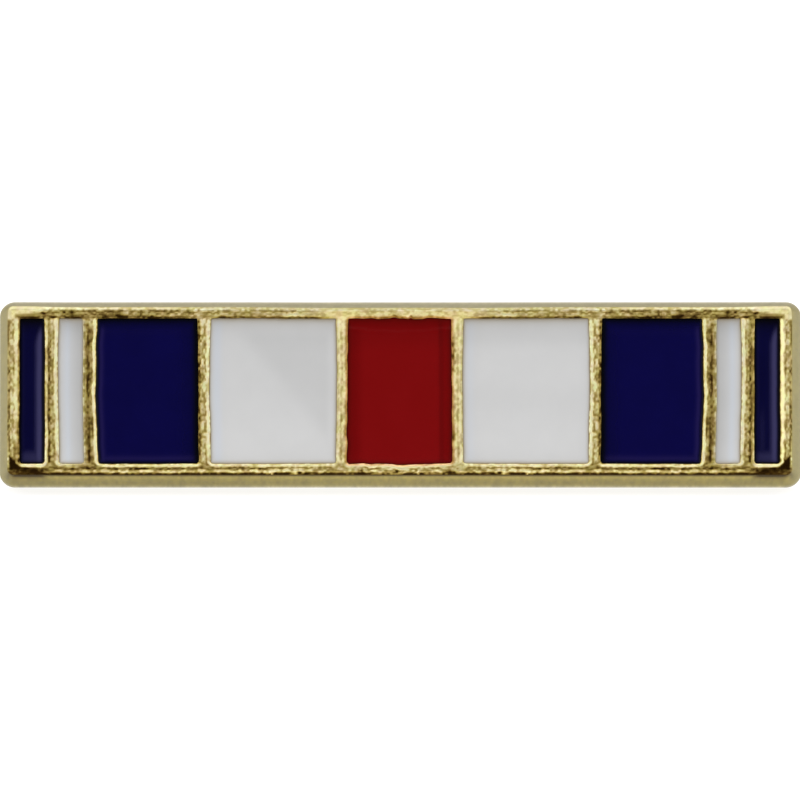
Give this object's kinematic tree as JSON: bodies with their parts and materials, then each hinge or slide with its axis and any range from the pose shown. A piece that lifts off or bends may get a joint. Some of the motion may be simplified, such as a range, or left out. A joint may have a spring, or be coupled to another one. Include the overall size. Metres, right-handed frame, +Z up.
{
  "type": "ribbon-bar lapel pin",
  "caption": "Slim rectangular medal ribbon bar lapel pin in gold-coloured metal with glossy enamel stripes in raised-rim cells and a soldered clutch post on the back.",
  "frame": {"origin": "centre of the footprint of the pin at rest on a table, on the table's surface: the pin stands on the long lower edge of its back and leans back 11.8 degrees on the post's shoulder", "axes": "+X along the bar, to the right of a viewer who faces it; the face looks towards -Y and 11.8 degrees up; the post runs from the back towards +Y and down; +Z up"},
  "size_m": [0.0174, 0.0098, 0.0041],
  "materials": {
    "plated_metal": "gold-coloured plating, bright on the worn crests, darker and pitted in the recesses",
    "enamel_navy": "glossy navy soft enamel",
    "enamel_white": "glossy white soft enamel",
    "enamel_red": "glossy red soft enamel"
  },
  "bodies": {
    "root": {"pin_body": "plated_metal", "enamel_navy_end_left": "enamel_navy", "enamel_white_narrow_left": "enamel_white", "enamel_navy_wide_left": "enamel_navy", "enamel_white_wide_left": "enamel_white", "enamel_red_centre": "enamel_red", "enamel_white_wide_right": "enamel_white", "enamel_navy_wide_right": "enamel_navy", "enamel_white_narrow_right": "enamel_white", "enamel_navy_end_right": "enamel_navy"}
  },
  "joints": []
}
